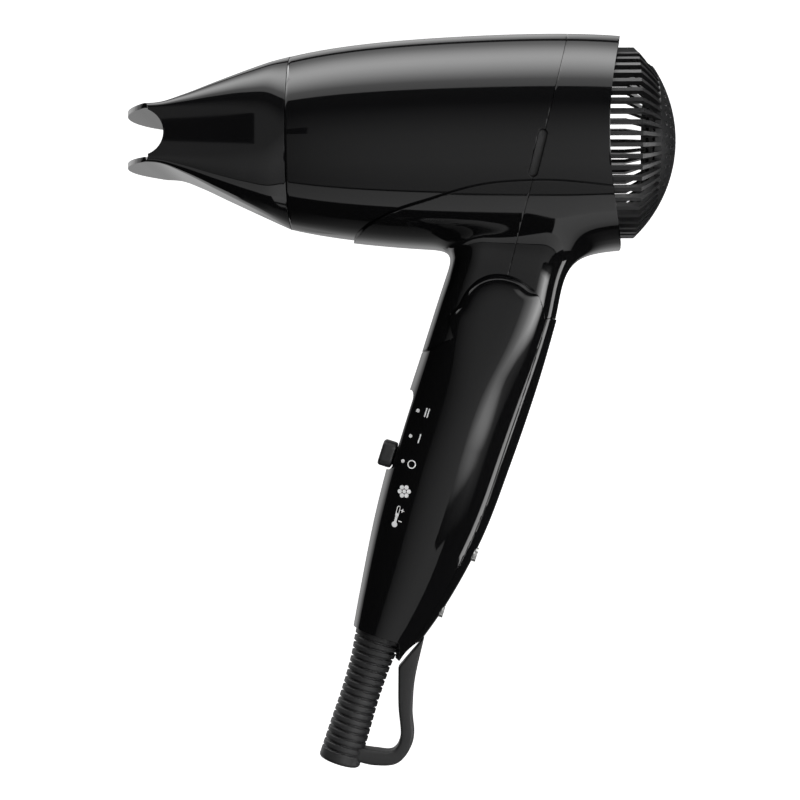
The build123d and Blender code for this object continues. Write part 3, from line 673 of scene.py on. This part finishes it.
local, faces = isosurface(knob_field, (16.0, -8.5, 47.0), (26.0, 8.5, 59.0), 0.22)
x, y, z = handle_point(*local.T)
knob = make("knob", np.stack([x, y, z], axis=1), faces)
finish_piece(knob, black_matt, "knob", "trim_matt", "switch_knob")


def lathe(name, profile, columns):
    """A turned form: (below, radius) pairs about the strain relief's axis."""
    points = []
    for below, radius in profile:
        for a in np.linspace(0, 2 * math.pi, columns, endpoint=False):
            points.append(handle_point(boot_forward + radius * math.cos(a), radius * math.sin(a), below))
    return make(name, points, grid_faces(len(profile), columns, True))


def boot_profile():
    """Down the grooved outside, round the end, and up the cord's bore."""
    groove_start, groove_pitch, groove_count = boot_top + 2.2, 2.4, 17
    profile = []
    for below in np.arange(107.5, boot_end - 1.25, 0.12):
        radius = smooth_table(below, (107, 110.8, 120, 131, 144, 155), (7.9, 7.9, 6.9, 6.5, 6.8, 7.0))
        count = min(max(round((below - groove_start) / groove_pitch), 0), groove_count - 1)
        nearest = groove_start + groove_pitch * count
        rise = np.clip((0.5 - abs(below - nearest)) / 0.28, 0, 1)
        profile.append((below, float(radius) - 0.8 * rise * rise * (3 - 2 * rise)))
    rim_r = 1.2
    for a in np.linspace(0.1, 1.57, 9):
        profile.append((boot_end - rim_r + rim_r * math.sin(a), 5.8 + rim_r * math.cos(a)))
    profile += [(boot_end, 4.6), (boot_end - 0.1, 3.6)]
    profile += [(boot_end - 0.5, cord_bore_r), (boot_end - 14, cord_bore_r)]
    return profile


boot = lathe("boot", boot_profile(), 96)
finish_piece(boot, rubber_black, "handle", "rubber", "cable_boot")


def curve_through(places, per_span=14):
    """Points of a smooth curve through places."""
    places = np.array(places, float)
    padded = np.vstack([2 * places[0] - places[1], places, 2 * places[-1] - places[-2]])
    curve = []
    for i in range(len(places) - 1):
        a, b, c, d = padded[i:i + 4]
        for t in np.linspace(0, 1, per_span, endpoint=False):
            curve.append(0.5 * (2 * b + (c - a) * t + (2 * a - 5 * b + 4 * c - d) * t * t
                                + (3 * b - a - 3 * c + d) * t**3))
    curve.append(places[-1])
    return curve


outer_loop = curve_through((
    (-7.6, -55.6), (-10.6, -69), (-11.5, -80), (-11.2, -89.6), (-16, -97), (-24, -98), (-32, -96.2)))
inner_loop = curve_through((
    (-16.2, -65.6), (-16.2, -78), (-15.5, -88), (-18, -92.9), (-24, -92.8), (-32, -91.6)))


loop_rings, loop_corner_points, loop_half = 90, 7, 4.0


def loop_skin():
    """A soft strap: rounded rectangles swept between its outer and inner edges."""
    outer, inner = (
        np.array([loop[int(round(i))] for i in np.linspace(0, len(loop) - 1, loop_rings)])
        for loop in (outer_loop, inner_loop))
    points = []
    for edge_out, edge_in in zip(outer, inner):
        middle, reach = (edge_out + edge_in) / 2, (edge_out - edge_in) / 2
        half = float(np.hypot(*reach))
        direction = reach / half
        radius = min(1.3, half * 0.8)
        for quarter in range(4):
            cu = (half - radius) * (1 if quarter in (0, 3) else -1)
            cv = (loop_half - radius) * (1 if quarter in (0, 1) else -1)
            for k in range(loop_corner_points):
                a = quarter * math.pi / 2 + math.pi / 2 * k / (loop_corner_points - 1)
                u, v = cu + radius * math.cos(a), cv + radius * math.sin(a)
                points.append((middle[0] + direction[0] * u, v, middle[1] + direction[1] * u))
    columns = 4 * loop_corner_points
    ends = [tuple(range(columns))[::-1], tuple(range(len(points) - columns, len(points)))]
    return points, grid_faces(loop_rings, columns, True) + ends


strap = make("strap", *loop_skin())
finish_piece(strap, rubber_black, "handle", "rubber", "hanging_loop")

# ---- printed marks on the handle's side -----------------------------------

def on_side(ahead, below, lift=0.025):
    """The point of the handle's -Y side at these handle coordinates."""
    front, back, half = handle_sizes(below)
    power = handle_power(below)
    u = abs(ahead - (front + back) / 2) / ((front - back) / 2)
    return handle_point(ahead, -float(half * (1 - u**power) ** (1 / power)) - lift, below)


def printed(name, shapes):
    """A mark of white ink: rings of (ahead, below) pairs, each a strip between two outlines."""
    points, faces = [], []
    for outer, inner in shapes:
        base, count = len(points), len(outer)
        points += [on_side(*p) for p in outer] + [on_side(*p) for p in inner]
        faces += [
            (base + k, base + (k + 1) % count, base + count + (k + 1) % count, base + count + k)
            for k in range(count)
        ]
    mark = make(name, points, faces)
    normal_y = sum(f.normal.y for f in mark.data.polygons)
    if normal_y > 0:
        mark.data.flip_normals()
    finish_piece(mark, white_print, "handle", "shell_gloss")


def ring_shape(centre, outer, inner, count=28):
    """An annulus; inner 0.01 makes a dot."""
    turns = np.linspace(0, 2 * math.pi, count, endpoint=False)
    return tuple(
        [(centre[0] + r * math.cos(a), centre[1] + r * math.sin(a)) for a in turns] for r in (outer, inner)
    )


def bar_shape(start, end, width, slim=0.02):
    """A round-ended stroke from start to end."""
    start, end = np.array(start), np.array(end)
    along = (end - start) / np.hypot(*(end - start))
    aside = np.array((-along[1], along[0]))
    outlines = []
    for half in (width / 2, slim / 2):
        cap = [half * (math.cos(a) * along + math.sin(a) * aside) for a in np.linspace(-1.57, 1.57, 9)]
        outlines.append([tuple(end + c) for c in cap] + [tuple(start - c) for c in cap])
    return tuple(outlines)


def upright_bar(ahead, below, half, width):
    return bar_shape((ahead, below - half), (ahead, below + half), width)


def level_bar(ahead, below, half, width):
    return bar_shape((ahead - half, below), (ahead + half, below), width)


def between(start, end, share):
    return tuple(a * (1 - share) + b * share for a, b in zip(start, end))


def seen_at(across_view, up_view):
    """Handle coordinates of a mark seen from the side, given its place on the middle plane."""
    view_x, view_z, shrink = -15.7, 23.3, 0.978
    x = view_x + (across_view - view_x) * shrink
    z = view_z + (up_view - view_z) * shrink
    ahead, below = handle_coords(x, z)
    return float(ahead), float(below)


dot_places = [seen_at(-9.4, 19.8), seen_at(-11.87, 11.27), seen_at(-14.43, 2.87)]
printed("mark_dots", [ring_shape(c, 0.6, 0.01, 20) for c in dot_places])
two, one, off = seen_at(-6.33, 19.0), seen_at(-8.87, 10.43), seen_at(-11.43, 1.83)
printed("mark_two", [upright_bar(two[0] + d, two[1], 1.35, 0.42) for d in (-0.42, 0.42)])
printed("mark_one", [upright_bar(one[0], one[1], 1.35, 0.42)])
printed("mark_off", [ring_shape(off, 1.42, 1.05)])
fan_mark = seen_at(-13.93, -7.2)
printed("mark_fan", [
    ring_shape((fan_mark[0] + 1.5 * math.cos(a), fan_mark[1] + 1.5 * math.sin(a)), 0.72, 0.01, 18)
    for a in np.linspace(0.3, 0.3 + 2 * math.pi, 6, endpoint=False)
] + [ring_shape(fan_mark, 0.62, 0.01, 18)])
bulb, tube_top = seen_at(-17.2, -18.2), seen_at(-15.73, -12.57)
printed("mark_heat", [
    ring_shape(bulb, 0.95, 0.01, 20),
    bar_shape(bulb, between(bulb, tube_top, 0.6), 0.8),
    bar_shape(between(bulb, tube_top, 0.55), tube_top, 1.1, 0.66),
])
plus, minus = seen_at(-14.53, -13.67), seen_at(-15.33, -17.2)
printed("mark_signs", [
    level_bar(*plus, 0.5, 0.3),
    upright_bar(*plus, 0.5, 0.3),
    level_bar(*minus, 0.45, 0.3),
])

# ---- stage, lights and camera ---------------------------------------------

def light_panel(name, around, level, x_from, x_to, along=((0, 1), (1, 1)), distance=2.0):
    """A soft light sheet curved about the X axis ("pitch") or about Z ("turn"), round the dryer.

    level is a list of (degrees from the camera's side, radiance): upwards for pitch, to the left
    for turn. x_from and x_to are its extent along the axis as a share of distance, and along
    scales the radiance over that extent.
    """
    stops, shares = np.array(level, float), np.array(along, float)
    angles = np.unique(np.concatenate([np.linspace(stops[0, 0], stops[-1, 0], 9), stops[:, 0]]))
    radiances = np.interp(angles, stops[:, 0], stops[:, 1])
    places = np.unique(np.concatenate([np.linspace(0, 1, 5), shares[:, 0]]))
    scales = np.interp(places, shares[:, 0], shares[:, 1])
    points, glow = [], []
    for angle, radiance in zip(np.radians(angles), radiances):
        for place, scale in zip(places, scales):
            a = (x_from + (x_to - x_from) * place) * distance
            if around == "pitch":
                point = (a, -distance * math.cos(angle), distance * math.sin(angle) + 0.06)
            else:
                point = (-distance * math.sin(angle), -distance * math.cos(angle), a + 0.06)
            points.append(point)
            glow.append(radiance * scale)
    mesh = bpy.data.meshes.new(name)
    mesh.from_pydata(points, [], grid_faces(len(angles), len(places), False))
    layer = mesh.attributes.new("glow", "FLOAT", "POINT")
    layer.data.foreach_set("value", glow)
    material = bpy.data.materials.new(name)
    material.use_nodes = True
    tree = material.node_tree
    tree.nodes.clear()
    out = tree.nodes.new("ShaderNodeOutputMaterial")
    shader = tree.nodes.new("ShaderNodeEmission")
    attribute = tree.nodes.new("ShaderNodeAttribute")
    attribute.attribute_name = "glow"
    tree.links.new(attribute.outputs["Fac"], shader.inputs["Strength"])
    tree.links.new(shader.outputs["Emission"], out.inputs["Surface"])
    mesh.materials.append(material)
    obj = bpy.data.objects.new(name, mesh)
    obj.visible_camera = False
    bpy.context.scene.collection.objects.link(obj)


# Studio: a big overhead softbox, a dim front wall, side softboxes and a back horizon.
light_panel("overhead_softbox", "pitch", [
    (54, 1.1), (63, 1.4), (69, 2.7), (76, 4.1), (82, 4.9), (88, 5.3), (94, 5.0), (100, 4.0), (106, 2.8),
    (112, 1.7), (118, 0.95), (126, 0.5)], -1.3, 1.3)
light_panel("left_top_softbox", "pitch", [
    (88, 3.4), (98, 5.6), (122, 5.2), (130, 2.0)], -1.3, -0.40, distance=1.95)
light_panel("front_wall", "pitch", [
    (-60, 0.36), (-50, 0.38), (-25, 0.48), (-8, 0.46), (4, 0.40), (14, 0.30), (24, 0.18), (36, 0.03)],
    -0.78, 0.55, ((0, 0.25), (0.25, 0.62), (0.5, 0.95), (0.75, 1.2), (1, 1.3)))
light_panel("low_front", "pitch", [(-83, 0.85), (-62, 0.8)], -0.8, 0.6, ((0, 0.5), (0.5, 0.9), (1, 1.5)))
light_panel("low_right", "pitch", [(-104, 0.4), (-96, 0.8), (-83, 1.1)], 0.06, 0.7)
light_panel("back_horizon", "pitch", [
    (132, 0.5), (138, 0.85), (146, 0.95), (154, 0.62), (160, 0.4), (180, 0.33)], -0.9, 0.3,
    ((0, 1), (0.8, 1), (1, 0.1)))
light_panel("low_back", "pitch", [
    (-180, 0.4), (-170, 0.6), (-158, 0.85), (-150, 0.72), (-139, 0.38), (-127, 0.18), (-110, 0.08)],
    -0.4, 0.3, ((0, 0.15), (0.25, 0.8), (0.75, 1), (1, 0.1)))
light_panel("side_softbox", "turn", [
    (-58, 3.0), (-51, 7.6), (-42, 8.6), (-33, 5.2), (-24, 2.5), (-15, 0.75)], -0.5, 0.5,
    ((0, 0.0), (0.2, 0.05), (0.26, 0.5), (0.32, 1), (0.8, 1), (1, 0.3)), 1.9)
light_panel("left_back_softbox", "turn", [
    (114, 0.3), (124, 1.0), (133, 1.35), (145, 1.1), (157, 0.6), (170, 0.4)], -0.8, 0.8, distance=1.8)
light_panel("right_back_strip", "turn", [(-107, 4.0), (-90, 4.0)], -0.7, 0.15, distance=1.8)

# A small black flag that keeps the nozzle's side dark between its edges.
flag_mesh = bpy.data.meshes.new("flag")
flag_mesh.from_pydata(
    [(-0.104, -0.09, 0.1150), (-0.0725, -0.09, 0.1135), (-0.0725, -0.09, 0.1245), (-0.104, -0.09, 0.1225)],
    [], [(0, 1, 2, 3)])
flag_material, _, _ = new_material("flag_black", (0.0, 0.0, 0.0), 1.0)
flag_mesh.materials.append(flag_material)
flag = bpy.data.objects.new("flag", flag_mesh)
flag.visible_camera = False
bpy.context.scene.collection.objects.link(flag)

backdrop_material = bpy.data.materials.new("pale_backdrop")
backdrop_material.use_nodes = True
backdrop_tree = backdrop_material.node_tree
backdrop_shader = backdrop_tree.nodes["Principled BSDF"]
backdrop_shader.inputs["Base Color"].default_value = (0.9, 0.9, 0.9, 1)
backdrop_shader.inputs["Roughness"].default_value = 0.9
backdrop_shader.inputs["Emission Color"].default_value = (1, 1, 1, 1)
backdrop_shader.inputs["Emission Strength"].default_value = 1.0


def cyclorama():
    """One pale sheet: floor, sweep and wall, all round."""
    radius, floor_z, sweep, wall_top = 2.6, -0.55, 0.8, 2.4
    profile = [(0.0, floor_z), (radius - sweep, floor_z)]
    profile += [
        (radius - sweep + sweep * math.sin(a), floor_z + sweep - sweep * math.cos(a))
        for a in np.linspace(0.1, math.pi / 2, 14)
    ]
    profile.append((radius, wall_top))
    columns = 64
    verts = [
        (r * math.cos(2 * math.pi * c / columns), r * math.sin(2 * math.pi * c / columns), z)
        for r, z in profile for c in range(columns)
    ]
    mesh = bpy.data.meshes.new("cyclorama")
    mesh.from_pydata(verts, [], grid_faces(len(profile), columns, True))
    mesh.materials.append(backdrop_material)
    for f in mesh.polygons:
        f.use_smooth = True
    obj = bpy.data.objects.new("cyclorama", mesh)
    obj.visible_glossy = False
    obj.visible_diffuse = False
    obj.visible_shadow = False
    bpy.context.scene.collection.objects.link(obj)


cyclorama()

world = bpy.data.worlds.new("studio")
world.use_nodes = True
world.node_tree.nodes["Background"].inputs["Color"].default_value = (1, 1, 1, 1)
world.node_tree.nodes["Background"].inputs["Strength"].default_value = 0.012
bpy.context.scene.world = world
bpy.context.scene.view_settings.view_transform = "Standard"

camera_data = bpy.data.cameras.new("camera")
camera_data.lens = 85.04
camera_data.sensor_width = 36
camera = bpy.data.objects.new("camera", camera_data)
aim = Vector((-0.0157, 0, 0.0233))
yaw = math.radians(1.5)
camera.location = aim + 0.63 * Vector((math.sin(yaw), -math.cos(yaw), 0))
camera.rotation_euler = (math.pi / 2, 0, yaw)
bpy.context.scene.collection.objects.link(camera)
bpy.context.scene.camera = camera
